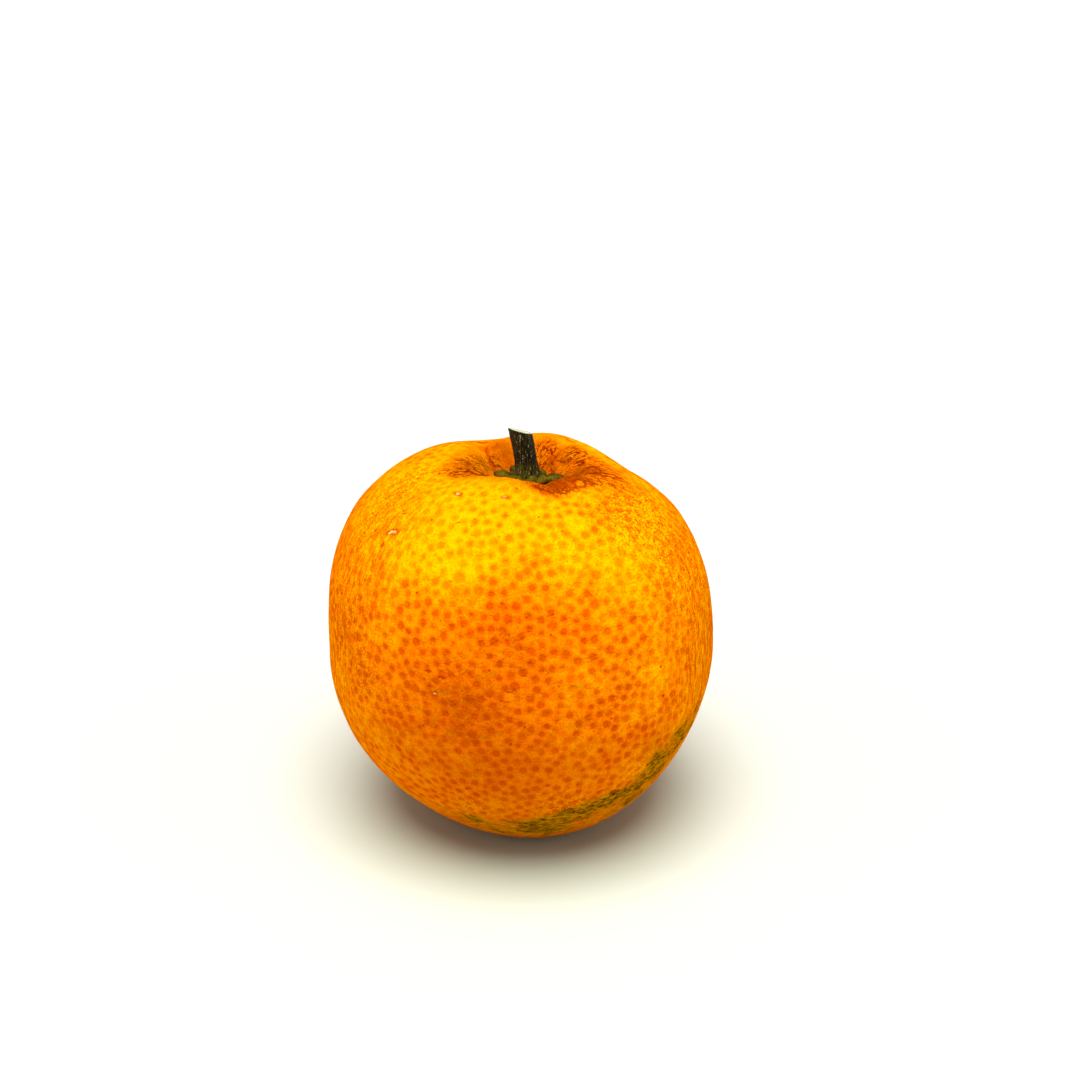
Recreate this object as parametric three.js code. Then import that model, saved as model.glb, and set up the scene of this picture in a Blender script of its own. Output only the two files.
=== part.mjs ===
// A ripe mandarin orange, picked with its calyx and a short cut stem.
// Millimetres, +Z up, standing on a small flat spot at Z = 0.
// An azimuth is degrees anticlockwise from +X, seen from above. A polar angle is degrees from straight up.
import * as THREE from "three";

// The fruit: a slightly tall globe with square shoulders and a rounder belly.
const WIDTH = 62;
const CROWN_HEIGHT = 30.9; // widest level up to the crown, before the stem hollow is pressed in
const BELLY_DEPTH = 32.7; // widest level down to the tip, before the tip is pressed flat
const CROWN_SQUARENESS = 2.6; // 2 is an ellipse
const BELLY_SQUARENESS = 1.92;
const BLEND_BAND = 0.35; // half the band, as a cosine, in which one squareness becomes the other

// Gentle risings and flats of the whole wall. Spread is the angle at which a third of it is left.
const SWELLINGS = [
  // the brim of the stem hollow
  { azimuth: 8, polar: 20, spread: 10, rise: -0.8 },
  { azimuth: 38, polar: 24, spread: 10, rise: -0.5 },
  { azimuth: 118, polar: 15, spread: 5, rise: 0.4 },
  { azimuth: 200, polar: 20, spread: 9, rise: -1.0 },
  { azimuth: 265, polar: 21, spread: 13, rise: 0.3 },
  { azimuth: 312, polar: 17, spread: 6, rise: 0.7 },
  // the shoulder
  { azimuth: 5, polar: 49, spread: 12, rise: 0.4 },
  { azimuth: 24, polar: 51, spread: 29, rise: -2.0 },
  { azimuth: 36, polar: 38, spread: 12, rise: -0.2 },
  { azimuth: 62, polar: 29, spread: 13, rise: 1.1 },
  { azimuth: 110, polar: 30, spread: 11, rise: -0.6 },
  { azimuth: 142, polar: 32, spread: 14, rise: 0.3 },
  { azimuth: 162, polar: 53, spread: 28, rise: 0.5 },
  // the belly
  { azimuth: 62, polar: 110, spread: 30, rise: -0.6 },
  { azimuth: 100, polar: 75, spread: 32, rise: 0.5 },
  { azimuth: 180, polar: 90, spread: 29, rise: -0.4 },
  { azimuth: 195, polar: 118, spread: 27, rise: 0.4 },
  { azimuth: 222, polar: 138, spread: 20, rise: -0.4 },
  { azimuth: 310, polar: 148, spread: 29, rise: 0.8 },
  { azimuth: 348, polar: 100, spread: 20, rise: -0.2 },
];

// The hollow the stem stands in. Its axis leans a little off the upright.
const HOLLOW_LEAN = { azimuth: 0, polar: 2.2 };
const HOLLOW_DEPTH = 4.3;
const HOLLOW_SPREAD = 15.5;
const HOLLOW_FLATNESS = 5; // 2 is a bell-shaped hollow, more is flatter in the middle

// Creases that run from the calyx up over the shoulder, with the peel puffed up between them.
// Drift is how far a crease swings round for each degree further out.
const CREASES = [
  { azimuth: 62, halfWidth: 6, depth: 1.7, peak: 18, reach: 9 },
  { azimuth: 95, halfWidth: 8, depth: 0.4, peak: 17, reach: 7 },
  { azimuth: 138, drift: -2.3, halfWidth: 9, depth: 1.5, peak: 19, reach: 9 },
  { azimuth: 170, halfWidth: 7, depth: 0.5, peak: 18, reach: 8 },
  { azimuth: 208, halfWidth: 8, depth: 0.3, peak: 18, reach: 8 },
  { azimuth: 246, halfWidth: 9, depth: 0.4, peak: 17, reach: 7 },
  { azimuth: 290, drift: 0.5, halfWidth: 8, depth: 1.3, peak: 18, reach: 9 },
  { azimuth: 336, halfWidth: 8, depth: 0.3, peak: 19, reach: 9 },
  { azimuth: 22, halfWidth: 8, depth: 0.3, peak: 20, reach: 8 },
];

// The base: the tip is pressed flat, with a shallow dimple round the flower scar.
const BASE_LIFT = 1.8;
const BASE_EASE = 0.9; // height over which the belly eases into the flat
const DIMPLE_RADIUS = 4;
const DIMPLE_DEPTH = 0.7;

// The calyx: a thick star of five blunt lobes that lies in the hollow, with a collar round the stem.
const GAP = 0.3; // clearance between one piece and the next
const DISC_SPREAD = 7.8; // degrees from the stem's axis out to the notches between the lobes
const LOBES = [
  { azimuth: 182, halfWidth: 27, length: 3.0 },
  { azimuth: 240, halfWidth: 21, length: 2.2 },
  { azimuth: 296, halfWidth: 21, length: 2.9 },
  { azimuth: 356, halfWidth: 25, length: 4.2 },
  { azimuth: 88, halfWidth: 23, length: 2.8 },
];
const CALYX_FLOOR = 0.8; // thickness under the stem
const CALYX_THICKNESS = 0.9;
const SOCKET_SPREAD = 5.5; // degrees from the stem's axis out to the socket's wall
const COLLAR_SPREAD = 6.5;

// The stem: woody, ribbed, a little bent, cut off at a slant.
const STEM_LENGTH = 6.6;
const STEM_FOOT_RADIUS = 2.1;
const STEM_NECK_RADIUS = 1.7;
const STEM_TIP_RADIUS = 1.8;
const STEM_BEND = -1.3; // how far the tip stands from the foot along X
const STEM_RIBS = 6;
const STEM_RIB_HEIGHT = 0.09;
const CUT_SLOPE = { x: -0.16, y: -0.2 }; // the cut face falls to one side and to the back

// How finely each skin is divided, around and from end to end.
const FRUIT_GRID = { around: 88, down: 44 };
const CALYX_GRID = { around: 80, under: 5, over: 6 };
const STEM_GRID = { around: 30, levels: 10 };

const rad = THREE.MathUtils.degToRad;
const deg = THREE.MathUtils.radToDeg;
const { lerp, smoothstep } = THREE.MathUtils;

function direction(azimuth, polar) {
  const level = Math.sin(rad(polar));
  return new THREE.Vector3(
    level * Math.cos(rad(azimuth)),
    level * Math.sin(rad(azimuth)),
    Math.cos(rad(polar)),
  );
}

// Degrees from one azimuth to another, from -180 to 180.
function turn(from, to) {
  return ((((to - from) % 360) + 540) % 360) - 180;
}

const hollowAxis = direction(HOLLOW_LEAN.azimuth, HOLLOW_LEAN.polar);
const leanOver = new THREE.Quaternion().setFromUnitVectors(new THREE.Vector3(0, 0, 1), hollowAxis);
const standUp = leanOver.clone().invert();
const centreHeight = BELLY_DEPTH - BASE_LIFT;

function creaseDepth(azimuth, polar) {
  let depth = 0;
  for (const crease of CREASES) {
    const line = crease.azimuth + (crease.drift ?? 0) * (polar - crease.peak);
    const across = turn(line, azimuth) / crease.halfWidth;
    const along = (polar - crease.peak) / crease.reach;
    depth += (crease.depth * Math.exp(-along * along)) / (1 + across * across);
  }
  return depth * smoothstep(polar, 5, 13);
}

// Distance from the fruit's centre out to the peel, before the tip is pressed flat.
function peelReach(heading) {
  const { x, y, z } = heading;
  const squareness = lerp(BELLY_SQUARENESS, CROWN_SQUARENESS, smoothstep(z, -BLEND_BAND, BLEND_BAND));
  const side = Math.hypot(x, y) / (WIDTH / 2);
  const rise = Math.abs(z) / (z > 0 ? CROWN_HEIGHT : BELLY_DEPTH);
  let reach = (side ** squareness + rise ** squareness) ** (-1 / squareness);
  for (const swelling of SWELLINGS) {
    const closeness = heading.dot(direction(swelling.azimuth, swelling.polar)) - 1;
    reach += swelling.rise * Math.exp((2 * closeness) / rad(swelling.spread) ** 2);
  }
  const local = heading.clone().applyQuaternion(standUp);
  const polar = deg(Math.acos(Math.min(1, local.z)));
  const azimuth = deg(Math.atan2(local.y, local.x));
  reach -= HOLLOW_DEPTH * Math.exp(-((polar / HOLLOW_SPREAD) ** HOLLOW_FLATNESS));
  return reach - creaseDepth(azimuth, polar);
}

function peelPoint(azimuth, polar) {
  const heading = direction(azimuth, polar);
  const point = heading.clone().multiplyScalar(peelReach(heading));
  point.z += centreHeight;
  if (point.z < -BASE_EASE) point.z = 0;
  else if (point.z < BASE_EASE) point.z = (point.z + BASE_EASE) ** 2 / (4 * BASE_EASE);
  const inDimple = Math.max(0, 1 - (point.x ** 2 + point.y ** 2) / DIMPLE_RADIUS ** 2);
  if (polar > 90) point.z += DIMPLE_DEPTH * inDimple ** 2;
  return point;
}

// A closed skin over rings of points that each run anticlockwise, from the first end point to the last.
function skin(first, rings, last) {
  const around = rings[0].length;
  const points = [first, ...rings.flat(), last];
  const faces = [];
  for (let i = 0; i < around; i++) {
    const next = (i + 1) % around;
    faces.push(0, 1 + next, 1 + i);
    for (let ring = 0; ring < rings.length - 1; ring++) {
      const near = 1 + ring * around;
      const far = near + around;
      faces.push(near + i, near + next, far + next, near + i, far + next, far + i);
    }
    const lastRing = 1 + (rings.length - 1) * around;
    faces.push(lastRing + i, lastRing + next, points.length - 1);
  }
  const geometry = new THREE.BufferGeometry().setFromPoints(points);
  geometry.setIndex(faces);
  geometry.computeVertexNormals();
  return geometry;
}

function ringOf(around, place) {
  return Array.from({ length: around }, (_, i) => place((360 * i) / around));
}

// The fruit, from the dimple up to the bottom of the hollow. Rows crowd together at both ends.
function buildFruit() {
  const rings = [];
  for (let row = 1; row < FRUIT_GRID.down; row++) {
    const step = row / FRUIT_GRID.down;
    const polar = 180 * (1 - step) + 9 * Math.sin(2 * Math.PI * step);
    rings.push(ringOf(FRUIT_GRID.around, (azimuth) => peelPoint(azimuth, polar)));
  }
  return skin(peelPoint(0, 180), rings, peelPoint(0, 0));
}

// A point above the peel, given about the hollow's axis.
function abovePeel(azimuth, polar, lift) {
  const heading = direction(azimuth, polar).applyQuaternion(leanOver);
  const point = heading.clone().multiplyScalar(peelReach(heading) + lift);
  point.z += centreHeight;
  return point;
}

// A point at a height along the hollow's axis, on the floor of the calyx or in the stem.
function besideAxis(x, y, height) {
  const point = new THREE.Vector3(x, y, height).applyQuaternion(leanOver);
  point.z += centreHeight;
  return point;
}

const calyxUnderside = peelReach(hollowAxis) + GAP;
const calyxFloor = calyxUnderside + CALYX_FLOOR;
const stemFoot = calyxFloor + GAP;

// How far out the calyx reaches, in degrees from the stem's axis.
function calyxSpread(azimuth) {
  let spread = DISC_SPREAD;
  for (const lobe of LOBES) {
    spread += lobe.length * Math.exp(-(Math.abs(turn(lobe.azimuth, azimuth) / lobe.halfWidth) ** 3));
  }
  return spread;
}

function buildCalyx() {
  const rings = [];
  const { around, under, over } = CALYX_GRID;
  for (let row = 1; row <= under; row++) {
    const out = row / under;
    rings.push(ringOf(around, (azimuth) => abovePeel(azimuth, out * (calyxSpread(azimuth) - 0.5), GAP)));
  }
  for (let row = 0; row <= over; row++) {
    const out = Math.cos((0.5 * Math.PI * row) / over); // 1 at the rim, 0 at the collar's crest
    const thickness = CALYX_THICKNESS * (row === 0 ? 0.4 : 1 - 0.35 * out ** 4);
    rings.push(
      ringOf(around, (azimuth) =>
        abovePeel(azimuth, lerp(COLLAR_SPREAD, calyxSpread(azimuth), out), GAP + thickness),
      ),
    );
  }
  for (const spread of [SOCKET_SPREAD, SOCKET_SPREAD / 2]) {
    const radius = calyxFloor * Math.tan(rad(spread));
    rings.push(
      ringOf(around, (azimuth) =>
        besideAxis(radius * Math.cos(rad(azimuth)), radius * Math.sin(rad(azimuth)), calyxFloor),
      ),
    );
  }
  return skin(besideAxis(0, 0, calyxUnderside), rings, besideAxis(0, 0, calyxFloor));
}

function buildStem() {
  const { around, levels } = STEM_GRID;
  const level = (share, inset) => {
    const bend = STEM_BEND * share ** 1.4;
    const girth =
      lerp(STEM_NECK_RADIUS, STEM_FOOT_RADIUS, (1 - smoothstep(share, 0, 0.45)) ** 1.5) +
      (STEM_TIP_RADIUS - STEM_NECK_RADIUS) * smoothstep(share, 0.5, 1);
    return ringOf(around, (azimuth) => {
      const radius = girth + STEM_RIB_HEIGHT * Math.cos(rad(azimuth * STEM_RIBS + 25)) - inset;
      const x = radius * Math.cos(rad(azimuth));
      const y = radius * Math.sin(rad(azimuth));
      return besideAxis(x + bend, y, stemFoot + share * (STEM_LENGTH + CUT_SLOPE.x * x + CUT_SLOPE.y * y));
    });
  };
  const rings = [level(0, 0.25)];
  for (let row = 0; row <= levels; row++) rings.push(level(0.03 + (0.94 * row) / levels, 0));
  rings.push(level(1, 0.25));
  return skin(besideAxis(0, 0, stemFoot), rings, besideAxis(STEM_BEND, 0, stemFoot + STEM_LENGTH));
}

function piece(name, geometry, color, roughness) {
  const mesh = new THREE.Mesh(geometry, new THREE.MeshStandardMaterial({ color, roughness }));
  mesh.name = name;
  return mesh;
}

const group = new THREE.Group();
group.name = "mandarin_orange";
group.add(piece("fruit", buildFruit(), 0xf27a0c, 0.42));
group.add(piece("calyx", buildCalyx(), 0x7f6413, 0.7));
group.add(piece("stem", buildStem(), 0x3a2c14, 0.8));

// The origin is under the middle of the whole part.
const box = new THREE.Box3().setFromObject(group);
const middle = box.getCenter(new THREE.Vector3());
for (const mesh of group.children) mesh.geometry.translate(-middle.x, -middle.y, -box.min.z);

export default group;
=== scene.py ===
import math

import bmesh
import bpy
import numpy as np
from mathutils import Matrix, Vector, kdtree, noise


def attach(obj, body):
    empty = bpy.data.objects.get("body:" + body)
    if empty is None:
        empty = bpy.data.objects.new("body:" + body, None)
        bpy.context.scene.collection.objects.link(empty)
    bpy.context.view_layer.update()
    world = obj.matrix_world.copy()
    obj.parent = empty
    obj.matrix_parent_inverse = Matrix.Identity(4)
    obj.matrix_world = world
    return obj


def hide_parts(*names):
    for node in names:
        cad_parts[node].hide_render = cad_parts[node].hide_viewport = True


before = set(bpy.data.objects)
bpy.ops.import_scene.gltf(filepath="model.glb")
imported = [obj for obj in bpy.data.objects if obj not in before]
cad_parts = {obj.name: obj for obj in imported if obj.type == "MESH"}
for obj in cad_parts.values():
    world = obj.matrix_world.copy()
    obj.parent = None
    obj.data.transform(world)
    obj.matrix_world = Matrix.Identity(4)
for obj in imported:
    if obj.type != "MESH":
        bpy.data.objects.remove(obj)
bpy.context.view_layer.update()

# Lengths in the dictionaries are in millimetres, and angles in degrees. An azimuth is anticlockwise
# from +X, seen from above, and a polar angle is measured from straight up. Colours are the red, green
# and blue of a screen, up to 255.
mm = 0.001
dice = np.random.default_rng(41)
honeycomb = 0.866  # what each point of a honeycomb takes up, as a share of its pitch squared


cameraPlace = {
    "at": (3.03, -224.70, 140.29),
    "down": 22.48,  # degrees below level
    "lens": 51.44,
    "sensor": 36,
    "nearest": 5,  # nothing closer than this is seen
}

lightPlan = {
    "world": 0.33,
    "aim": (0, 0, 30),
    "key": {"at": (-60, -920, 3200), "size": 2700, "power": 200},
    "left": {"at": (-2800, -900, 1000), "size": 1800, "power": 12},
    "right": {"at": (2800, -700, 1100), "size": 1800, "power": 12},
}


def addObject(name, data):
    made = bpy.data.objects.new(name, data)
    bpy.context.scene.collection.objects.link(made)
    return made


def addCamera():
    camera = addObject("camera", bpy.data.cameras.new("camera"))
    camera.location = Vector(cameraPlace["at"]) * mm
    camera.rotation_euler = (math.radians(90 - cameraPlace["down"]), 0, 0)
    camera.data.lens = cameraPlace["lens"]
    camera.data.sensor_width = cameraPlace["sensor"]
    camera.data.clip_start = cameraPlace["nearest"] * mm
    bpy.context.scene.camera = camera


def addLights():
    world = bpy.data.worlds.new("whiteRoom")
    world.use_nodes = True
    background = world.node_tree.nodes["Background"].inputs
    background["Color"].default_value = (1, 1, 1, 1)
    background["Strength"].default_value = lightPlan["world"]
    bpy.context.scene.world = world
    for name in ("key", "left", "right"):
        plan = lightPlan[name]
        lamp = bpy.data.lights.new(name, "AREA")
        lamp.shape = "DISK"
        lamp.size = plan["size"] * mm
        lamp.energy = plan["power"]
        light = addObject(name, lamp)
        light.location = Vector(plan["at"]) * mm
        aim = Vector(lightPlan["aim"]) - Vector(plan["at"])
        light.rotation_euler = aim.to_track_quat("-Z", "Y").to_euler()


addCamera()
addLights()
bpy.context.scene.view_settings.view_transform = "Standard"
print("camera and light are set")


def paint(screen):  # a screen colour as the linear one that a shader wants
    channels = [c / 255 for c in screen]
    linear = [c / 12.92 if c < 0.04045 else ((c + 0.055) / 1.055) ** 2.4 for c in channels]
    return (*linear, 1.0)


class Wire:
    # a socket that can be used in sums
    def __init__(self, finish, socket):
        self.finish = finish
        self.socket = socket

    def sum(self, operation, first, second=0.0):
        return self.finish.node("ShaderNodeMath", {"operation": operation}, {0: first, 1: second})

    def __add__(self, other):
        return self.sum("ADD", self, other)

    def __sub__(self, other):
        return self.sum("SUBTRACT", self, other)

    def __rsub__(self, other):
        return self.sum("SUBTRACT", other, self)

    def __mul__(self, other):
        return self.sum("MULTIPLY", self, other)

    __radd__ = __add__
    __rmul__ = __mul__

    def between(self, low, high):  # 0 at low, 1 at high, and soft at both ends
        settings = {"interpolation_type": "SMOOTHSTEP"}
        return self.finish.node("ShaderNodeMapRange", settings, {0: self, 1: low, 2: high, 3: 0.0, 4: 1.0})

    def atMost(self, other):
        return self.sum("MINIMUM", self, other)

    def atLeast(self, other):
        return self.sum("MAXIMUM", self, other)

    def magnitude(self):
        return self.sum("ABSOLUTE", self)


class Finish:
    # one material, built up node by node
    def __init__(self, name):
        self.material = bpy.data.materials.new(name)
        self.material.use_nodes = True
        self.tree = self.material.node_tree
        self.tree.nodes.clear()

    def node(self, kind, settings=None, sockets=None, out=0):
        made = self.tree.nodes.new(kind)
        for key, value in (settings or {}).items():
            setattr(made, key, value)
        for key, value in (sockets or {}).items():
            self.feed(made, key, value)
        return Wire(self, made.outputs[out]) if made.outputs else made

    def feed(self, made, key, value):
        named = [s for s in made.inputs if s.identifier == key]
        socket = named[0] if named else made.inputs[key]
        if isinstance(value, Wire):
            self.tree.links.new(value.socket, socket)
        else:
            socket.default_value = value

    def mix(self, share, first, second):
        sockets = {"Factor_Float": share, "A_Color": first, "B_Color": second}
        return self.node("ShaderNodeMix", {"data_type": "RGBA"}, sockets, out=2)

    def coat(self, share, under, screen):  # one more colour over those below
        return self.mix(share, under, paint(screen))

    def place(self):  # object coordinates in millimetres
        here = self.node("ShaderNodeTexCoord", out="Object")
        return self.vector("MULTIPLY", here, (1000, 1000, 1000))

    def stretch(self, place, scale, turn=(0, 0, 0)):
        sockets = {"Vector": place, "Scale": scale, "Rotation": [math.radians(a) for a in turn]}
        return self.node("ShaderNodeMapping", {"vector_type": "POINT"}, sockets)

    def spot(self, place, frameOfSpot, halves):  # 0 in the middle of a small oval spot, 1 at its edge
        centre, turn = frameOfSpot
        sockets = {"Vector": place, "Location": centre, "Rotation": turn, "Scale": (*halves, 1.0)}
        inside = self.node("ShaderNodeMapping", {"vector_type": "TEXTURE"}, sockets)
        return self.vector("LENGTH", inside, out="Value")

    def vector(self, operation, *parts, out="Vector"):
        return self.node("ShaderNodeVectorMath", {"operation": operation}, dict(enumerate(parts)), out=out)

    def cloud(self, place, size, detail=3.0, roughness=0.55):  # noise with blobs of about that size
        sockets = {"Vector": place, "Scale": 1 / size, "Detail": detail, "Roughness": roughness}
        return self.node("ShaderNodeTexNoise", None, sockets, out="Fac")

    def downward(self, place, across, along):  # drawn out along the lines from the stem to the tip
        level = self.vector("NORMALIZE", self.vector("MULTIPLY", place, (1, 1, 0)))
        level = self.vector("MULTIPLY", level, (across, across, 0))
        return self.vector("ADD", level, self.vector("MULTIPLY", place, along))

    def noiseColour(self, place, size):  # three noises at once, to shake places with
        return self.node("ShaderNodeTexNoise", None, {"Vector": place, "Scale": 1 / size}, out="Color")

    def shake(self, place, noises, amount):
        return self.vector("ADD", place, self.vector("MULTIPLY", noises, [amount] * 3))

    def attribute(self, name):
        return self.node("ShaderNodeAttribute", {"attribute_name": name}, out="Fac")

    def bump(self, height, depth, under=None):  # height from 0 to 1 stands for depth in mm
        sockets = {"Height": height, "Distance": depth * mm, "Strength": 1.0}
        if under:
            sockets["Normal"] = under
        return self.node("ShaderNodeBump", None, sockets)

    def finish(self, **sockets):
        shader = self.node("ShaderNodeBsdfPrincipled")
        for key, value in sockets.items():
            self.feed(shader.socket.node, key.replace("_", " "), value)
        self.node("ShaderNodeOutputMaterial", None, {"Surface": shader})
        return self.material


fruitForm = {
    "width": 62,
    "crownHeight": 30.9,
    "bellyDepth": 32.7,
    "crownSquareness": 2.6,
    "bellySquareness": 1.92,
    "blendBand": 0.35,
    "baseLift": 1.8,
    "baseEase": 0.9,
    "dimpleRadius": 4,
    "dimpleDepth": 0.7,
    "dimpleCeiling": 25,  # only skin below this height is dimpled
    # azimuth, polar angle, spread, rise
    "swellings": [
        (8, 20, 10, -0.8),
        (38, 24, 10, -0.5),
        (118, 15, 5, 0.4),
        (200, 20, 9, -1.0),
        (265, 21, 13, 0.3),
        (312, 17, 6, 0.7),
        (5, 49, 12, 0.4),
        (24, 51, 29, -2.0),
        (36, 38, 12, -0.2),
        (62, 29, 13, 1.1),
        (110, 30, 11, -0.6),
        (142, 32, 14, 0.3),
        (162, 53, 28, 0.5),
        (62, 110, 30, -0.6),
        (100, 75, 32, 0.5),
        (180, 90, 29, -0.4),
        (195, 118, 27, 0.4),
        (222, 138, 20, -0.4),
        (310, 148, 29, 0.8),
        (348, 100, 20, -0.2),
    ],
}

hollow = {
    "lean": 2.2,  # towards +X
    "depth": 4.3,
    "spread": 15.5,
    "flatness": 5,
    "creaseBand": (5, 13),  # polar angles over which the creases set in
    # azimuth, drift, half width, depth, peak, reach
    "creases": [
        (62, 0, 6, 1.7, 18, 9),
        (95, 0, 8, 0.4, 17, 7),
        (138, -2.3, 9, 1.5, 19, 9),
        (170, 0, 7, 0.5, 18, 8),
        (208, 0, 8, 0.3, 18, 8),
        (246, 0, 9, 0.4, 17, 7),
        (290, 0.5, 8, 1.3, 18, 9),
        (336, 0, 8, 0.3, 19, 9),
        (22, 0, 8, 0.3, 20, 8),
    ],
}


def smoothstep(values, low, high):
    share = np.clip((values - low) / (high - low), 0, 1)
    return share * share * (3 - 2 * share)


def direction(azimuth, polar):
    azimuth, polar = np.radians(azimuth), np.radians(polar)
    level = np.sin(polar)
    return np.stack([level * np.cos(azimuth), level * np.sin(azimuth), np.cos(polar) + 0 * level], -1)


lean = math.radians(hollow["lean"])
hollowTurn = np.array(
    [[math.cos(lean), 0, math.sin(lean)], [0, 1, 0], [-math.sin(lean), 0, math.cos(lean)]]
)
formLift = np.array([0, 0, fruitForm["bellyDepth"] - fruitForm["baseLift"]])  # from the floor to the middle


def aboutStem(headings):  # azimuth and polar angle about the hollow's axis
    local = headings @ hollowTurn
    azimuth = np.degrees(np.arctan2(local[:, 1], local[:, 0]))
    return azimuth, np.degrees(np.arccos(np.clip(local[:, 2], -1, 1)))


def turnBetween(start, end):
    return (end - start + 180) % 360 - 180


def patches(headings, spots):  # each spot is strongest in its middle and fades over its spread
    share = np.zeros(len(headings))
    for azimuth, polar, spread, strength in spots:
        closeness = headings @ direction(azimuth, polar) - 1
        share += strength * np.exp(2 * closeness / math.radians(spread) ** 2)
    return share


def furrows(azimuth, polar, lines, sharpness, band):
    total = np.zeros(len(azimuth))
    for line, drift, halfWidth, depth, peak, reach in lines:
        across = turnBetween(line + drift * (polar - peak), azimuth) / halfWidth
        total += depth * np.exp(-(((polar - peak) / reach) ** 2)) / (1 + across**2) ** sharpness
    return total * smoothstep(polar, *band)


def peelReach(headings):  # from the middle of the fruit out to the peel
    form = fruitForm
    x, y, z = headings.T
    crown = smoothstep(z, -form["blendBand"], form["blendBand"])
    squareness = form["bellySquareness"] + (form["crownSquareness"] - form["bellySquareness"]) * crown
    side = np.hypot(x, y) / (form["width"] / 2)
    rise = np.abs(z) / np.where(z > 0, form["crownHeight"], form["bellyDepth"])
    reach = (side**squareness + rise**squareness) ** (-1 / squareness)
    reach += patches(headings, form["swellings"])
    azimuth, polar = aboutStem(headings)
    reach -= hollow["depth"] * np.exp(-((polar / hollow["spread"]) ** hollow["flatness"]))
    return reach - furrows(azimuth, polar, hollow["creases"], 1, hollow["creaseBand"])


def standUpright(points):  # lifts the fruit onto its flattened tip
    form = fruitForm
    points = points + formLift
    ease = form["baseEase"]
    low = points[:, 2] < form["dimpleCeiling"]
    height = points[:, 2]
    eased = np.where(height < -ease, 0, (height + ease) ** 2 / (4 * ease))
    height = np.where(height < ease, eased, height)
    inDimple = np.clip(1 - (points[:, 0] ** 2 + points[:, 1] ** 2) / form["dimpleRadius"] ** 2, 0, 1)
    points[:, 2] = height + low * form["dimpleDepth"] * inDimple**2
    return points


def middleOfForm():  # the solids are centred over the origin, so the pieces are too
    azimuth, polar = np.meshgrid(np.linspace(0, 360, 361), np.linspace(60, 110, 101))
    headings = direction(azimuth.ravel(), polar.ravel())
    points = headings * peelReach(headings)[:, None]
    return (points.min(0) + points.max(0)) / 2 * np.array([1, 1, 0])


formMiddle = middleOfForm()


def noiseAt(points, size, seed=0.0):  # from -1 to 1
    return np.array([noise.noise(Vector(p)) for p in points / size + seed])


def addMesh(shape, name, material):
    mesh = bpy.data.meshes.new(name)
    shape.to_mesh(mesh)
    shape.free()
    mesh.materials.append(material)
    return addObject(name, mesh)


def addPiece(shape, points, name, material, node, values):
    for vertex, point in zip(shape.verts, points * mm):
        vertex.co = point
    piece = addMesh(shape, name, material)
    piece.data.polygons.foreach_set("use_smooth", [True] * len(piece.data.polygons))
    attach(piece, "root")
    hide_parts(node)
    for attribute, value in values.items():
        layer = piece.data.attributes.new(attribute, "FLOAT", "POINT")
        layer.data.foreach_set("value", np.asarray(value, dtype=np.float32))
    return piece


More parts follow.
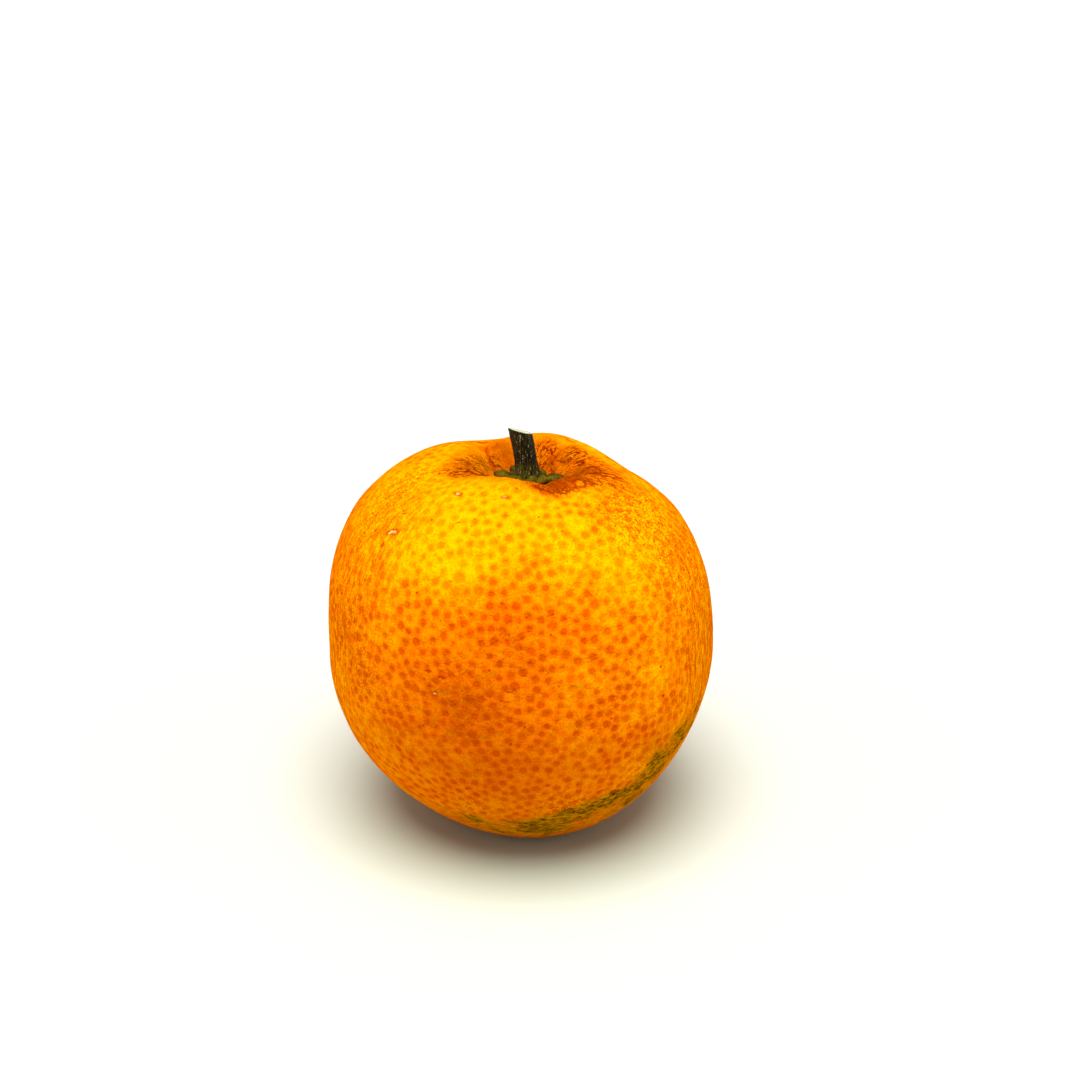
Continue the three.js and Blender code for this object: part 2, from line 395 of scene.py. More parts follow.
peelLook = {
    "cuts": 127,  # cuts in each edge of the starting cube
    "crowding": 0.3,  # how much finer the skin is round the stem
    "crownBand": (14, 30),  # where the wrinkled crown gives way to the shoulder
    "shadeBand": (108, 150),  # where the underside gets painted shade, a browner colour
    "glandPitch": 1.85,
    "glandJitter": 0.45,  # how far they stray, as a share of the pitch
    "glandPushes": 5,  # how often they are pushed apart again
    "glandRadius": 0.54,
    "glandVariety": 0.14,
    "glandLimits": (0.6, 1.3),  # smallest and largest, as shares of the radius
    "glandBand": (25, 62),  # where they grow from the crown's size to the full one
    "crownGlands": 0.74,  # the crown's size
    "glandDip": 0.07,
    "glandRim": (-0.4, 0.25),  # from the bottom of a dip to the skin round it
    "faintGlands": 0.2,  # how many are small and pale
    "faintSize": 0.62,
    "faintTint": (0, 0.35),
    "fullTint": (0.55, 1),
    "heave": 0.10,  # slow unevenness of the peel
    "wrinkle": 0.16,
    "wrinkleBand": (7, 13),  # where the wrinkles set in
    "foldsAround": 5.5,
    "foldsOutward": 0.09,
    "creaseBand": (9, 13),
    "creaseDark": 0.4,  # a crease this deep gets the full painted shade
    # pairs are the colour on deep orange skin and the one on golden skin; golden is partly painted
    # highlight, deep orange partly painted shade
    "colours": {
        "net": ((240, 106, 0), (255, 152, 0)),
        "netFar": ((255, 144, 0), (255, 186, 0)),
        "netCloud": ((230, 92, 0), (244, 116, 0)),
        "netGrain": ((222, 86, 0), (242, 116, 0)),
        "gland": ((188, 54, 0), (243, 112, 0)),
        "crown": ((248, 100, 0), (255, 152, 0)),
        "grainDark": (216, 74, 0),
        "grainLight": (255, 178, 0),
        "ribDark": (216, 66, 0),
        "ribLight": (255, 170, 0),
        "ribFold": (222, 76, 0),
        "mottleDark": (214, 74, 0),
        "mottleLight": (255, 190, 0),
        "crownFoldShade": (226, 74, 0),
        "shrunken": (246, 92, 0),
        "foldHighlight": (255, 158, 0),
        "foldShade": (232, 78, 0),
        "creaseGrain": (218, 66, 0),
        "creaseGlint": (255, 170, 0),
        "crackHighlight": (255, 156, 0),
        "crackShade": (140, 18, 0),
        "crease": (172, 44, 0),
        "dash": (196, 52, 0),
        "dull": (178, 68, 0),
        "tinge": (190, 114, 0),
        "deepTinge": (112, 84, 0),
        "tingeLight": (222, 150, 0),
        "fleck": (40, 44, 0),
        "rust": (160, 46, 0),
        "speck": (170, 34, 0),
        "scarEdge": (176, 52, 0),
        "scar": (252, 196, 104),
        "nick": (162, 36, 0),
        "lumpShadeRing": (168, 48, 0),
        "lumpHighlight": (250, 138, 0),
    },
    # azimuth, polar angle, spread and strength: golden where above 0, deep orange where below. The golden
    # spots are partly painted highlight where the light falls brightest, the deep orange ones partly painted
    # shade
    "ripenessAndPaintedLight": [
        (245, 36, 18, 0.75),
        (208, 30, 14, 1.4),
        (196, 38, 10, 0.6),
        (209, 47, 9, 0.6),
        (226, 99, 9, 0.4),
        (235, 61, 5, -0.7),
        (309, 35, 6, -0.7),
        (230, 46, 13, 1.2),
        (237, 69, 5, 0.5),
        (248, 67, 8, -0.7),
        (190, 27, 7, 0.9),
        (148, 19, 6, 0.8),
        (290, 38, 16, 0.7),
        (316, 48, 15, 1.0),
        (160, 17, 9, 1.0),
        (312, 74, 14, 0.4),
        (268, 62, 12, -1.2),
        (214, 68, 13, -1.0),
        (192, 60, 12, -0.9),
        (242, 78, 9, -0.5),
        (300, 62, 12, -0.5),
        (328, 54, 12, -0.6),
        (318, 42, 7, -0.5),
        (262, 76, 17, -0.7),
        (240, 90, 20, -0.5),
        (275, 102, 26, -0.6),
        (318, 104, 12, 0.4),
        (60, 60, 30, 0.4),
        (130, 70, 30, -0.4),
        (0, 90, 25, -0.2),
        (203, 98, 14, 0.5),
    ],
    # where the skin is duller and browner: partly real brown mottles, partly painted shade low on the sides
    # and beside the stem
    "dull": [
        (268, 66, 10, 0.38),
        (262, 101, 20, 0.47),
        (290, 98, 18, 0.2),
        (234, 97, 14, 0.25),
        (212, 72, 8, 0.2),
        (218, 82, 8, 0.2),
        (312, 104, 6, 0.4),
        (245, 80, 16, 0.14),
        (255, 83, 10, 0.4),
        (287, 16, 5, 0.6),
        (302, 21, 3.5, 0.9),
        (289, 24.5, 2.5, 0.7),
        (281, 22.5, 2, 0.5),
        (313, 19, 3.5, 0.8),
        (319, 22.5, 3, 0.7),
        (110, 14, 4, 0.6),
        (47, 17, 5, 0.4),
    ],
    "green": [
        (345, 104, 6, 0.35),
        (340, 113, 6, 0.45),
        (334, 100, 4, 0.5),
        (326, 103, 4, 0.45),
        (331, 107, 5, 0.6),
        (326, 113, 5, 0.8),
        (317, 113, 4, 0.6),
        (310, 115, 4, 0.5),
        (275, 139, 9, 0.32),
        (255, 141, 10, 0.5),
        (315, 107, 5, 0.5),
        (322, 106, 4, 0.4),
        (322, 120, 5, 0.8),
        (313, 119, 4, 0.6),
        (316, 128, 7, 0.7),
        (307, 121, 4, 0.7),
        (301, 122.5, 4, 1.4),
        (294, 124, 4.5, 1.4),
        (287, 125, 3.5, 0.9),
        (278, 129, 5, 0.7),
        (304, 132, 9, 0.45),
        (265, 132, 6, 0.6),
        (285, 136, 9, 0.6),
        (252, 131, 6, 0.5),
        (240, 129, 6, 0.3),
    ],
    "russet": [
        (0, 20, 4, 1.2),
        (350, 22, 3.5, 0.9),
        (318, 24, 3.5, 0.5),
        (122, 18, 4.0, 0.4),
    ],
    # where the skin is shrunken into fine wrinkles, darkened by painted shade in their folds and cracks
    "shrunken": [
        (192, 18, 5.5, 0.6),
        (209, 16, 5, 0.7),
        (174, 14, 5, 0.55),
        (139, 12, 3.5, 0.7),
        (292, 21, 5, 0.9),
        (303, 18, 5, 0.9),
        (325, 20, 5.5, 1.0),
        (350, 21, 6, 1.0),
        (20, 20, 7, 0.8),
        (45, 18, 6, 0.6),
        (340, 29, 8, 0.4),
        (62, 17, 4, 0.6),
    ],
    # where short red-brown dashes lie thick
    "dashed": [
        (335, 38, 12, 1.0),
        (316, 40, 9, 0.7),
        (324, 58, 12, 0.6),
        (345, 65, 14, 0.6),
        (192, 30, 9, 0.8),
        (202, 41, 9, 0.6),
        (200, 52, 12, 0.5),
        (212, 70, 10, 0.55),
        (222, 84, 10, 0.55),
        (300, 85, 14, 0.3),
        (312, 112, 10, 0.7),
        (285, 124, 10, 0.9),
        (255, 122, 8, 0.6),
    ],
    # where it is finely ribbed from top to bottom
    "ribbed": [
        (338, 62, 16, 0.9),
        (335, 88, 16, 1.0),
        (350, 108, 18, 0.8),
        (205, 62, 16, 0.8),
        (212, 42, 12, 0.7),
        (194, 32, 10, 0.4),
        (200, 95, 18, 0.9),
        (30, 75, 26, 0.7),
        (85, 85, 30, 0.5),
        (150, 80, 28, 0.7),
    ],
    # small lumps: azimuth, polar angle, spread, height
    "warts": [
        (313, 23.8, 1.5, 0.45),
        (319, 25.4, 1.2, 0.35),
        (306, 25.5, 1.1, 0.2),
        (236, 27, 1.2, 0.12),
        (255, 19, 6, 0.75),
    ],
    # narrow wrinkles beside the creases: azimuth, drift, half width, depth, peak, reach
    "wrinkles": [
        (61, 0.0, 2.2, 0.70, 17, 7),
        (137, -2.3, 2.8, 0.65, 17, 8),
        (160, 0.9, 2.0, 0.25, 17, 5),
        (176, 0.6, 1.9, 0.35, 16, 5),
        (188, -0.7, 2.2, 0.30, 18, 6),
        (199, 0.5, 1.8, 0.35, 16, 5),
        (214, 0.8, 2.0, 0.25, 17, 5),
        (289, 2.2, 3.0, 0.45, 17, 6),
        (308, 1.5, 2.2, 0.35, 17, 4),
        (322, 0.4, 2.2, 0.35, 18, 5),
        (350, 0.5, 2.0, 0.45, 20, 5),
        (20, -0.6, 2.0, 0.30, 20, 6),
        (100, 0.5, 2.0, 0.25, 15, 5),
    ],
    # pale scars with a brown edge: azimuth, polar angle, half length, half width, turn
    "scars": [
        (218, 45, 1.5, 0.55, 30),
        (234, 28, 0.9, 0.45, 0),
        (216, 39, 0.7, 0.20, -20),
        (262, 27, 0.7, 0.25, 5),
        (247, 82, 0.55, 0.3, 60),
    ],
    # small dark nicks, given the same way
    "nicks": [
        (209, 47, 0.55, 0.30, 60),
        (217, 49, 0.60, 0.35, 80),
        (244, 37, 0.55, 0.18, 30),
        (286, 23.5, 2.2, 0.24, -36),
        (297, 22.5, 2.4, 0.16, -6),
        (119, 26, 2.4, 0.5, 5),
        (60, 28, 1.6, 0.2, 20),
        (34, 33, 1.2, 0.3, 20),
        (36, 13, 1.0, 0.3, -20),
        (313, 22, 1.1, 0.18, 10),
        (321, 23.5, 0.9, 0.18, -25),
        (245, 76, 0.8, 0.26, 5),
        (249, 77, 0.8, 0.32, 15),
        (266, 82, 0.9, 0.12, -5),
        (268, 79, 0.8, 0.10, 0),
        (196, 24, 0.35, 0.28, 0),
        (313, 23, 0.5, 0.3, 0),
        (327, 103, 0.5, 0.2, 50),
        (312, 117, 0.5, 0.25, 10),
        (309, 118, 1.0, 0.16, 5),
        (301, 118, 0.8, 0.22, -5),
        (296, 116, 0.9, 0.18, 10),
        (281, 121, 0.9, 0.16, 5),
        (333, 106, 0.4, 0.3, 0),
        (0, 179.5, 1.0, 1.0, 0),
    ],
    # small lumps drawn in painted light, a painted highlight in the middle and a ring of painted shade round
    # it: azimuth, polar angle, radius
    "paintedLumps": [(313, 23.8, 0.95), (319.5, 24.6, 0.75), (307, 25.6, 0.5)],
}


def treeOf(points):
    tree = kdtree.KDTree(len(points))
    for i, point in enumerate(points):
        tree.insert(point, i)
    tree.balance()
    return tree


def onBall(points):
    return points / np.linalg.norm(points, axis=1)[:, None]


def spreadGlands(count):  # evenly scattered points on a ball, pushed apart a few times
    look = peelLook
    step = np.arange(count) + 0.5
    level = 1 - 2 * step / count
    azimuth = math.pi * (1 + 5**0.5) * step
    flat = np.sqrt(1 - level**2)
    points = np.stack([flat * np.cos(azimuth), flat * np.sin(azimuth), level], -1)
    pitch = math.sqrt(4 * math.pi / count / honeycomb)
    points = onBall(points + dice.normal(0, look["glandJitter"] * pitch, points.shape))
    for _ in range(look["glandPushes"]):
        tree = treeOf(points)
        push = np.zeros_like(points)
        for i, point in enumerate(points):
            for _, other, gap in tree.find_n(point, 7):
                if 0 < gap < pitch:
                    push[i] += (point - points[other]) / gap * (pitch - gap) * 0.35
        points = onBall(points + push)
    return points


def nearestGlands(points, centres, radii):
    tree = treeOf(centres)
    edge = np.empty(len(points))
    which = np.empty(len(points), dtype=int)
    for i, point in enumerate(points):
        found = [(gap - radii[other], other) for _, other, gap in tree.find_n(point, 4)]
        edge[i], which[i] = min(found)
    return edge, which


def spotFrame(azimuth, polar, turn=0):  # centre of a mark on the peel, and how it is turned
    out = Vector(direction(azimuth, polar))
    along = out.cross(Vector((0, 0, 1))).normalized() * -1
    axes = Matrix((along, out.cross(along), out)).transposed()
    axes = axes @ Matrix.Rotation(math.radians(turn), 3, "Z")
    heading = np.array(out)[None]
    centre = standUpright(heading * peelReach(heading)[:, None])[0] - formMiddle
    return tuple(centre), axes.to_euler()


def addMarks(peel, place, colour):
    tones = peelLook["colours"]
    wander = peel.vector("SUBTRACT", peel.noiseColour(place, 0.62), (0.5, 0.5, 0.5))
    ragged = peel.shake(place, wander, 0.9)
    sunk = None
    for azimuth, polar, length, width, turn in peelLook["scars"]:
        reach = peel.spot(ragged, spotFrame(azimuth, polar, turn), (length, width))
        colour = peel.coat((1 - reach.between(0.70, 1.30)) * 0.8, colour, tones["scarEdge"])
        colour = peel.coat((1 - reach.between(0.20, 0.70)) * 0.8, colour, tones["scar"])
        dip = 1 - reach.between(0.3, 1.2)
        sunk = dip if sunk is None else sunk.atLeast(dip)
    for azimuth, polar, length, width, turn in peelLook["nicks"]:
        reach = peel.spot(ragged, spotFrame(azimuth, polar, turn), (length, width))
        colour = peel.coat((1 - reach.between(0.50, 1.35)) * 0.8, colour, tones["nick"])
    # the small lumps' ring of painted shade and their painted highlight
    for azimuth, polar, radius in peelLook["paintedLumps"]:
        reach = peel.spot(ragged, spotFrame(azimuth, polar), (radius, radius))
        colour = peel.coat((1 - reach.between(0.90, 1.50)) * 0.8, colour, tones["lumpShadeRing"])
        colour = peel.coat((1 - reach.between(0.40, 0.95)) * 0.85, colour, tones["lumpHighlight"])
    return colour, sunk


def finishPeel():
    peel = Finish("mandarinPeel")
    tones = peelLook["colours"]
    place = peel.place()
    edge, tint = map(peel.attribute, ("glandEdge", "glandTint"))
    crown, crease, shade = map(peel.attribute, ("crown", "crease", "shade"))
    ripenessAndPaintedLight, green, russet, shrunken = map(peel.attribute, ("ripenessAndPaintedLight", "green", "russet", "shrunken"))
    mottled, dull, ribbed = map(peel.attribute, ("dashed", "dull", "ribbed"))
    mottled = mottled.atMost(1.0)
    ribbed = ribbed.atMost(1.0)
    wrinkled = shrunken.atMost(1.0)

    slow = peel.cloud(place, 8, 3)
    patchy = peel.cloud(place, 4.2, 2)
    middling = peel.cloud(place, 2.4, 3)
    fine = peel.cloud(place, 0.36, 3, 0.6)
    grain = peel.cloud(place, 0.2, 2, 0.6)
    streaky = peel.cloud(peel.downward(place, 56, (0.32, 0.32, 0.4)), 1, 3, 0.6)
    levelStreaks = peel.cloud(peel.stretch(place, (0.6, 0.6, 1.7)), 0.75, 3, 0.6)
    folds = peel.cloud(peel.downward(place, 13, (0.45, 0.45, 0.6)), 1.2, 5, 0.68)
    fineFolds = peel.cloud(peel.downward(place, 18, (0.5, 0.5, 0.6)), 0.8, 4, 0.68)
    cracks = peel.cloud(peel.downward(place, 14, (0.45, 0.45, 0.55)), 1.1, 3, 0.6)

    # yellow net between the glands, brightest where it is far from any of them
    # how golden the skin is: random tone plus the spots above, so partly painted highlight and painted shade
    goldenAndPaintedLight = (ripenessAndPaintedLight * 0.5 + 0.40 + (slow - 0.5) * 1.3 + (patchy - 0.5) * 1.1).between(0.0, 1.0)

    def ripeAndLit(name):
        deep, gold = tones[name]
        return peel.mix(goldenAndPaintedLight, paint(deep), paint(gold))

    far = edge.between(0.05, 0.60) * (0.1 + middling * 1.5)
    colour = peel.mix((far * 0.9).atMost(1.0), ripeAndLit("net"), ripeAndLit("netFar"))
    colour = peel.mix(middling.between(0.45, 0.75) * 0.45, colour, ripeAndLit("netCloud"))
    colour = peel.mix(fine.between(0.44, 0.70) * 0.4, colour, ripeAndLit("netGrain"))
    # a fine grain all over, strongest on the sides, which are ribbed from top to bottom
    busy = (ribbed + crown * 0.8).atMost(1.0)
    colour = peel.coat(grain.between(0.50, 0.60) * (0.26 + busy * 0.44), colour, tones["grainDark"])
    colour = peel.coat((1 - grain.between(0.40, 0.50)) * (0.16 + busy * 0.5), colour, tones["grainLight"])
    colour = peel.coat(streaky.between(0.50, 0.61) * (0.06 + ribbed * 0.6), colour, tones["ribDark"])
    colour = peel.coat((1 - streaky.between(0.39, 0.49)) * (0.08 + ribbed * 0.62), colour, tones["ribLight"])
    colour = peel.coat(fineFolds.between(0.51, 0.60) * ribbed * 0.4, colour, tones["ribFold"])
    # small mottles, thick in some places
    colour = peel.coat(fine.between(0.50, 0.60) * mottled * 0.6, colour, tones["mottleDark"])
    colour = peel.coat((1 - fine.between(0.39, 0.48)) * mottled * 0.6, colour, tones["mottleLight"])
    # the glands, blurred at the edge and fainter where the skin is golden
    blur = edge + (fine - 0.5) * (0.28 + goldenAndPaintedLight * 0.24)
    showing = (0.25 + tint * 0.75) * (1 - goldenAndPaintedLight * slow.between(0.46, 0.60) * 0.5)
    dot = (1 - blur.between(-0.15, 0.13)) * showing * (1 - crown * 0.85) * (1 - ribbed * 0.5)
    colour = peel.mix(dot * (0.74 + goldenAndPaintedLight * 0.2), colour, ripeAndLit("gland"))
    # round the stem the glands fade and the peel is plain orange, lined by its wrinkles; their folds and
    # cracks get painted shade, and their ridges painted highlight
    colour = peel.mix(crown * 0.55, colour, ripeAndLit("crown"))
    # painted shade in the valleys of the crown's folds
    colour = peel.coat(folds.between(0.48, 0.64) * crown * 0.5, colour, tones["crownFoldShade"])
    colour = peel.coat(wrinkled * 0.5, colour, tones["shrunken"])
    # painted highlight on the ridges of the fine folds, painted shade in their valleys
    colour = peel.coat((1 - fineFolds.between(0.38, 0.47)) * wrinkled * 0.5, colour, tones["foldHighlight"])
    colour = peel.coat(fineFolds.between(0.50, 0.60) * wrinkled * 0.5, colour, tones["foldShade"])
    colour = peel.coat(grain.between(0.50, 0.58) * wrinkled * 0.55, colour, tones["creaseGrain"])
    colour = peel.coat((1 - grain.between(0.42, 0.50)) * wrinkled * 0.5, colour, tones["creaseGlint"])
    lined = shrunken.between(0.12, 0.50)
    # painted highlight beside the fine cracks, and painted shade in them as dark lines
    colour = peel.coat(cracks.between(0.56, 0.62) * lined * 0.5, colour, tones["crackHighlight"])
    lines = 1 - (cracks - 0.5).magnitude().between(0.018, 0.052)
    lines = lines * lined * middling.between(0.34, 0.46)
    colour = peel.coat(lines * 0.92, colour, tones["crackShade"])
    # painted shade along the narrow wrinkles' creases
    colour = peel.coat(crease * 0.65, colour, tones["crease"])
    dashes = (streaky * 0.5 + fine * 0.5 + mottled * 0.06).between(0.61, 0.66) * mottled
    colour = peel.coat(dashes * 0.65, colour, tones["dash"])
    # duller brown patches, partly painted shade, and painted shade on the underside
    brownedAndShaded = dull * (middling * 1.2 + fine * 0.9 - 0.05) + shade * 0.6
    colour = peel.coat(brownedAndShaded.atMost(0.9), colour, tones["dull"])
    # green tinge with dark flecks, and russet
    tinge = (green * (0.05 + middling * 1.1 + patchy * 0.8) - 0.18).between(0.0, 0.75)
    deepGreen = (slow * 0.4 + middling * 0.6 + green * 0.17).between(0.56, 0.70)
    greens = peel.mix(deepGreen, paint(tones["tinge"]), paint(tones["deepTinge"]))
    colour = peel.mix(tinge * 0.8, colour, greens)
    colour = peel.coat((1 - levelStreaks.between(0.38, 0.48)) * tinge * 0.5, colour, tones["tingeLight"])
    flecks = (levelStreaks * 0.6 + fine * 0.4).between(0.50, 0.58) * tinge * (0.3 + deepGreen * 0.7)
    colour = peel.coat(flecks * 0.85, colour, tones["fleck"])
    rust = (russet * 1.1 - fine * 0.5 - (middling - 0.5) * 2.4).between(0.0, 0.7)
    colour = peel.coat(rust * 0.5, colour, tones["rust"])
    # a scatter of tiny red-brown specks, some of them close together
    shaken = peel.shake(place, peel.noiseColour(place, 0.83), 0.5)
    scattered = middling.between(0.40, 0.50)
    crowded = mottled * patchy.between(0.40, 0.52)
    for pitch, size, where in ((2.6, 0.24, scattered), (1.0, 0.22, crowded)):
        sockets = {"Vector": shaken, "Scale": 1 / pitch}
        away = peel.node("ShaderNodeTexVoronoi", None, sockets, out="Distance")
        speck = 1 - away.between(size * 0.6 / pitch, size * 1.1 / pitch)
        colour = peel.coat(speck * where * 0.85, colour, tones["speck"])
    colour, sunk = addMarks(peel, place, colour)

    normal = None
    for height, depth in (
        (fine, 0.22),
        ((1 - streaky) * (0.15 + ribbed * 0.85), 0.45),
        (middling, 1.0),
        (1 - folds * crown, 1.4),
        (1 - fineFolds * wrinkled, 0.5),
        (1 - lines, 0.12),
        (1 - sunk, 0.12),
    ):
        normal = peel.bump(height, depth, normal)
    return peel.finish(
        Base_Color=colour,
        Roughness=0.42 + dot * 0.05 + crown * 0.10 + rust * 0.2 + (fine - 0.5) * 0.12,
        Normal=normal,
        Specular_IOR_Level=0.0,
        Specular_Tint=(1.0, 0.6, 0.02, 1),
        Metallic=0.04,
    )


def buildFruit():
    look = peelLook
    shape = bmesh.new()
    bmesh.ops.create_cube(shape, size=2)
    bmesh.ops.subdivide_edges(shape, edges=shape.edges[:], cuts=look["cuts"], use_grid_fill=True)
    cube = np.array([v.co for v in shape.verts])
    ball = onBall(np.tan(cube * math.pi / 4))  # evens the squares out
    polar = np.arccos(np.clip(ball[:, 2], -1, 1))
    polar = polar - look["crowding"] * np.sin(polar)
    azimuth = np.arctan2(ball[:, 1], ball[:, 0])
    headings = direction(np.degrees(azimuth), np.degrees(polar))
    reach = peelReach(headings)
    points = headings * reach[:, None]
    stemAzimuth, stemPolar = aboutStem(headings)
    crown = 1 - smoothstep(stemPolar, *look["crownBand"])

    room = honeycomb * look["glandPitch"] ** 2
    count = round(4 * math.pi * (fruitForm["width"] / 2) ** 2 / room)
    centres = spreadGlands(count)
    faint = dice.uniform(0, 1, count) < look["faintGlands"]
    sizes = np.clip(dice.normal(1, look["glandVariety"], count), *look["glandLimits"])
    sizes *= look["glandRadius"] * np.where(faint, look["faintSize"], 1)
    grown = smoothstep(np.degrees(np.arccos(np.clip(centres[:, 2], -1, 1))), *look["glandBand"])
    sizes *= look["crownGlands"] + (1 - look["crownGlands"]) * grown
    faintTints = dice.uniform(*look["faintTint"], count)
    fullTints = dice.uniform(*look["fullTint"], count)
    tints = np.where(faint, faintTints, fullTints)
    edge, which = nearestGlands(points, centres * peelReach(centres)[:, None], sizes)

    lift = -look["glandDip"] * (1 - smoothstep(edge, *look["glandRim"])) * (1 - 0.6 * crown)
    lift += look["heave"] * (noiseAt(points, 9) + 0.6 * noiseAt(points, 4, 7.0))
    around = np.radians(stemAzimuth)
    ribbon = look["foldsAround"] * np.cos(around), look["foldsAround"] * np.sin(around)
    ribbon = np.stack([*ribbon, look["foldsOutward"] * stemPolar], -1)
    folds = noiseAt(ribbon, 1, 3.0) + 0.5 * noiseAt(ribbon, 0.45, 9.0)
    folds *= (crown + patches(headings, look["shrunken"])) * smoothstep(stemPolar, *look["wrinkleBand"])
    lift += look["wrinkle"] * folds + patches(headings, look["warts"])
    crease = furrows(stemAzimuth, stemPolar, look["wrinkles"], 1.5, look["creaseBand"])

    values = {
        "glandEdge": edge,
        "glandTint": tints[which],
        "crown": crown,
        "crease": np.clip(crease / look["creaseDark"], 0, 1) ** 1.5,
        "shade": smoothstep(np.degrees(polar), *look["shadeBand"]),
    }
    for name in ("ripenessAndPaintedLight", "green", "russet", "shrunken", "dashed", "dull", "ribbed"):
        values[name] = patches(headings, look[name])
    points = standUpright(headings * (reach + lift - crease)[:, None]) - formMiddle
    fruit = addPiece(shape, points, "fruitPeel", finishPeel(), "fruit", values)


buildFruit()
print("the fruit is made")


calyxLook = {
    "around": 160,
    "rings": 44,
    "disc": 5.9,  # degrees from the stem's axis out to the notches
    # azimuth, half width, length
    "lobes": [
        (184, 25, 4.9),
        (232, 12, 0.6),
        (293, 17, 5.0),
        (352, 24, 6.0),
        (88, 25, 4.4),
        (128, 14, 2.6),
        (42, 12, 2.0),
    ],
    "lobeBand": (4.5, 8),  # where the disc gives way to the lobes
    "thickness": 1.35,
    "gap": 0.10,  # how far it stands off the peel
    "lumps": 0.17,
    "colours": {
        "deep": (52, 45, 0),
        "pale": (94, 81, 0),
        "dark": (30, 23, 0),
        "light": (122, 106, 2),
        "rim": (96, 52, 6),
    },
}


def lobeShare(azimuth):  # 1 along the middle of a lobe, 0 in the notches
    share = 0 * azimuth
    for lobe, halfWidth, _ in calyxLook["lobes"]:
        share = np.maximum(share, np.exp(-((turnBetween(lobe, azimuth) / halfWidth) ** 2)))
    return share


def calyxSpread(azimuth):
    spread = 0 * azimuth
    for lobe, halfWidth, length in calyxLook["lobes"]:
        spread = np.maximum(spread, length * np.exp(-((turnBetween(lobe, azimuth) / halfWidth) ** 4)))
    return calyxLook["disc"] + spread


def fromStem(azimuth, polar, lift):  # a point above the peel, given about the hollow's axis
    headings = direction(azimuth, polar) @ hollowTurn.T
    points = headings * (peelReach(headings) + lift)[:, None]
    return standUpright(points) - formMiddle


def finishCalyx():
    calyx = Finish("calyxGreen")
    tones = calyxLook["colours"]
    place = calyx.place()
    coarse = calyx.cloud(place, 1.1, 3)
    fine = calyx.cloud(place, 0.28, 3, 0.6)
    rim = calyx.attribute("rim")
    colour = calyx.mix(coarse.between(0.38, 0.62), paint(tones["deep"]), paint(tones["pale"]))
    colour = calyx.coat(fine.between(0.50, 0.66) * 0.7, colour, tones["dark"])
    colour = calyx.coat((1 - fine.between(0.30, 0.44)) * 0.6, colour, tones["light"])
    colour = calyx.coat(rim * coarse.between(0.4, 0.6) * 0.7, colour, tones["rim"])
    return calyx.finish(
        Base_Color=colour,
        Roughness=0.6 + (fine - 0.5) * 0.2,
        Normal=calyx.bump(coarse, 0.5, calyx.bump(fine, 0.14)),
        Specular_IOR_Level=0.05,
    )


def buildCalyx():
    look = calyxLook
    shape = bmesh.new()
    bmesh.ops.create_uvsphere(shape, u_segments=look["around"], v_segments=look["rings"], radius=1)
    ball = np.array([v.co for v in shape.verts])
    azimuth = np.degrees(np.arctan2(ball[:, 1], ball[:, 0]))
    out = np.hypot(ball[:, 0], ball[:, 1]) ** 0.8
    polar = out * calyxSpread(azimuth)
    width = np.sqrt(np.clip(1 - out**4.5, 0, 1))  # full in the middle, round at the rim
    top = ball[:, 2] > 0
    onLobe = smoothstep(polar, *look["lobeBand"])
    share = lobeShare(azimuth)
    plump = (1 - onLobe) * (0.6 + 0.4 * share) + onLobe * (0.35 + 0.65 * share)
    plump += 0.22 * onLobe * np.exp(-(((out - 0.78) / 0.16) ** 2))  # thicker towards the tips
    plump -= 0.16 * np.exp(-(((polar - 6.2) / 0.8) ** 2))  # a groove round the disc
    lift = look["gap"] + look["thickness"] * plump * (0.42 + np.where(top, 0.58, -0.42) * width)
    points = fromStem(azimuth, polar, lift)
    lumps = noiseAt(points, 1.1, 2.0) + 0.5 * noiseAt(points, 0.5, 5.0)
    points[:, 2] += look["lumps"] * lumps * top * width
    values = {"rim": smoothstep(out, 0.75, 1.0)}
    calyx = addPiece(shape, points, "calyxStar", finishCalyx(), "calyx", values)


buildCalyx()
print("the calyx is made")


stemLook = {
    "around": 96,
    "levels": 48,
    "insets": (0.05, 0.07, 0.12, 0.2, 0.25),  # rings in the cut end and the foot
    "length": 7.4,
    "footRadius": 2.1,
    "neckRadius": 1.7,
    "tipRadius": 1.8,
    "flare": 0.45,  # the share of its length over which the foot flares
    "bend": -1.3,
    "ribs": 6,
    "ribHeight": 0.09,
    "roughness": 0.045,
    "cutSlope": (-0.21, -0.22),
    "foot": 0.6,  # how far the foot stands above the peel
    "colours": {
        "barkDark": (9, 7, 0),
        "bark": (40, 32, 3),
        "barkGreen": (98, 90, 4),
        "pit": (6, 4, 0),
        "dust": (74, 70, 10),
        "fleck": (200, 192, 140),
        "wood": (206, 202, 140),
        "woodPale": (250, 248, 224),
        "woodEdge": (118, 122, 48),
    },
}


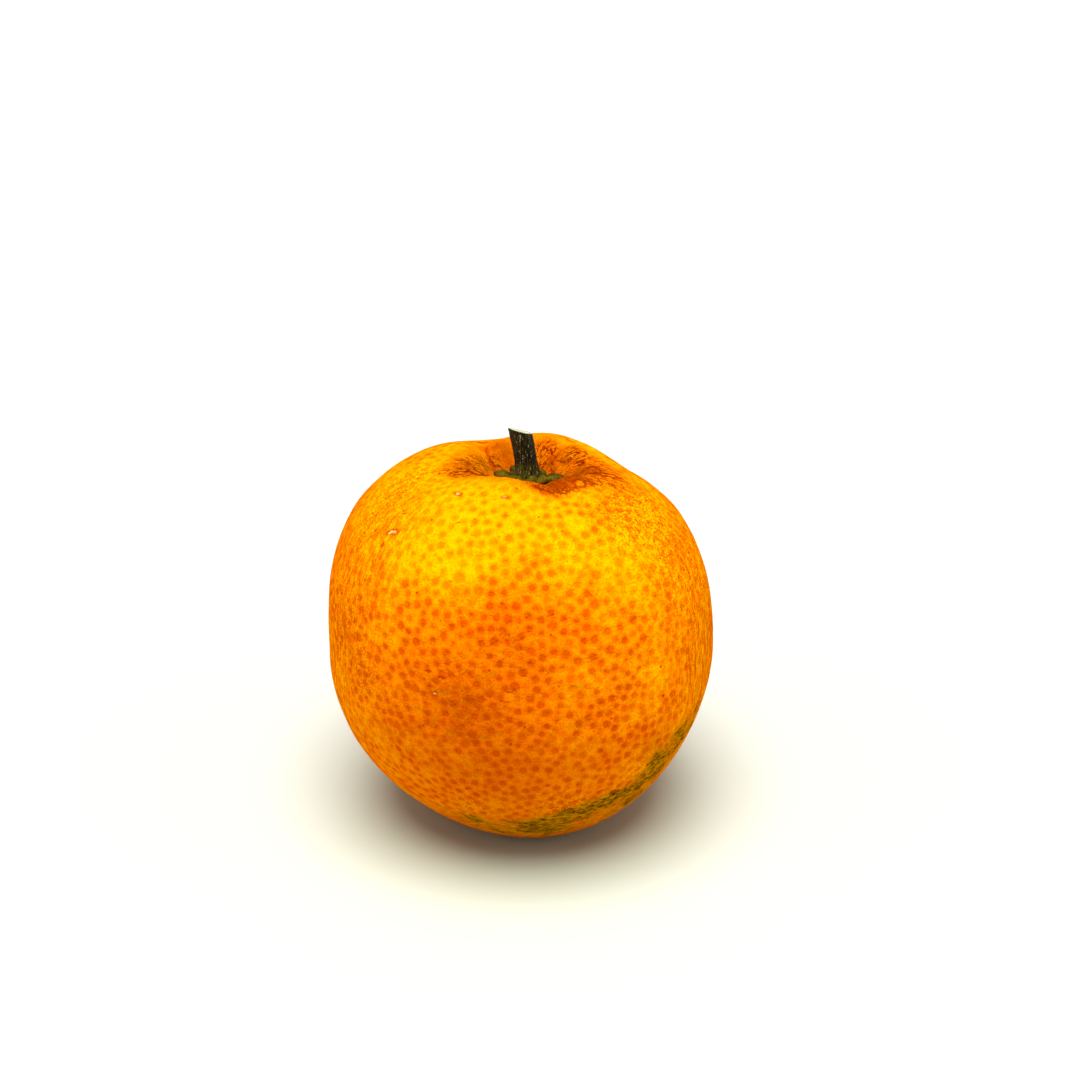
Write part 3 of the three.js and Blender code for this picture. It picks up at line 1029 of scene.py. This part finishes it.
def finishStem():
    stem = Finish("stemWood")
    tones = stemLook["colours"]
    place = stem.place()
    cut = stem.attribute("cut")
    low = stem.attribute("low")
    fibre = stem.cloud(stem.stretch(place, (3.4, 3.4, 0.28), (0, -10, 0)), 0.8, 4, 0.65)
    coarse = stem.cloud(place, 1.6, 2)
    fine = stem.cloud(place, 0.22, 3, 0.6)
    bark = stem.mix(fibre.between(0.40, 0.60), paint(tones["barkDark"]), paint(tones["bark"]))
    mossy = (coarse * 0.8 + low * 0.5 - 0.35).between(0.0, 0.4)
    bark = stem.coat(mossy * fibre.between(0.38, 0.60) * 0.85, bark, tones["barkGreen"])
    bark = stem.coat(fine.between(0.50, 0.60) * 0.5, bark, tones["pit"])
    bark = stem.coat((1 - fine.between(0.40, 0.48)) * 0.25, bark, tones["dust"])
    bark = stem.coat((fibre * 0.5 + fine * 0.5).between(0.58, 0.62) * 0.9, bark, tones["fleck"])
    wood = stem.mix(fine.between(0.3, 0.7), paint(tones["wood"]), paint(tones["woodPale"]))
    wood = stem.coat(cut.between(0.62, 0.40), wood, tones["woodEdge"])
    return stem.finish(
        Base_Color=stem.mix(cut.between(0.16, 0.30), bark, wood),
        Roughness=0.6 + (fine - 0.5) * 0.2,
        Normal=stem.bump(fibre, 0.6, stem.bump(fine, 0.1)),
        Specular_IOR_Level=0.1,
    )


def buildStem():
    look = stemLook
    shape = bmesh.new()
    bmesh.ops.create_cone(
        shape, segments=look["around"], radius1=1, radius2=1, depth=1, cap_ends=True, cap_tris=False
    )
    upright = [e for e in shape.edges if abs(e.verts[0].co.z - e.verts[1].co.z) > 0.5]
    bmesh.ops.subdivide_edges(shape, edges=upright, cuts=look["levels"], use_grid_fill=True)
    for height in (0.5, -0.5):
        cap = next(f for f in shape.faces if all(abs(v.co.z - height) < 1e-4 for v in f.verts))
        for inset in look["insets"]:
            bmesh.ops.inset_region(shape, faces=[cap], thickness=inset, use_even_offset=True)
        bmesh.ops.poke(shape, faces=[cap])
    raw = np.array([v.co for v in shape.verts])
    share = np.clip(raw[:, 2] + 0.5, 0, 1)  # rounding leaves the ends a hair outside
    azimuth = np.arctan2(raw[:, 1], raw[:, 0])
    out = np.hypot(raw[:, 0], raw[:, 1])
    low = 1 - smoothstep(share, 0, look["flare"])
    girth = look["neckRadius"] + (look["footRadius"] - look["neckRadius"]) * low**1.5
    girth += (look["tipRadius"] - look["neckRadius"]) * smoothstep(share, 0.5, 1)
    girth += look["ribHeight"] * np.cos(azimuth * look["ribs"] + math.radians(25))
    girth += look["ribHeight"] * np.cos(azimuth * 3 + 4 * share) * 0.8
    x, y = girth * out * np.cos(azimuth), girth * out * np.sin(azimuth)
    height = share * (look["length"] + look["cutSlope"][0] * x + look["cutSlope"][1] * y)
    around = np.stack([4 * np.cos(azimuth), 4 * np.sin(azimuth), 2.2 * share], -1)
    rough = 1 + look["roughness"] * noiseAt(around, 1)
    bend = look["bend"] * share**1.4
    foot = peelReach(hollowTurn[:, 2][None])[0] + look["foot"]
    local = np.stack([x * rough + bend, y * rough, height + foot], -1) @ hollowTurn.T
    values = {"cut": np.where(share > 0.999, np.clip((1.06 - out) * 4, 0, 1), 0), "low": low}
    points = local + formLift - formMiddle
    stem = addPiece(shape, points, "stemTwig", finishStem(), "stem", values)


buildStem()
print("the stem is made")


floorLook = {
    "halfSide": 6000,
    "toneBand": (8, 46),  # within this distance of the middle the paper is darker and warmer: painted shade with a warm cast round the fruit
    "paintedShadowTone": (0.51, 0.575, 0.41, 1),
    "farTone": (0.585, 0.60, 0.525, 1),
    "glowBand": (45, 420),
    "glow": (0.50, 0.50, 0.64, 1),
}


def buildFloor():
    look = floorLook
    shape = bmesh.new()
    bmesh.ops.create_grid(shape, x_segments=1, y_segments=1, size=look["halfSide"] * mm)
    white = Finish("whitePaper")
    away = white.vector("LENGTH", white.place(), out="Value")
    # the paper's colour, with painted shade near the fruit
    paper = white.mix(away.between(*look["toneBand"]), look["paintedShadowTone"], look["farTone"])
    glow = white.mix(away.between(*look["glowBand"]), (0, 0, 0, 1), look["glow"])
    material = white.finish(Base_Color=paper, Roughness=0.9, Emission_Color=glow, Emission_Strength=1.0)
    floor = addMesh(shape, "floor", material)


buildFloor()
print("the floor is made")
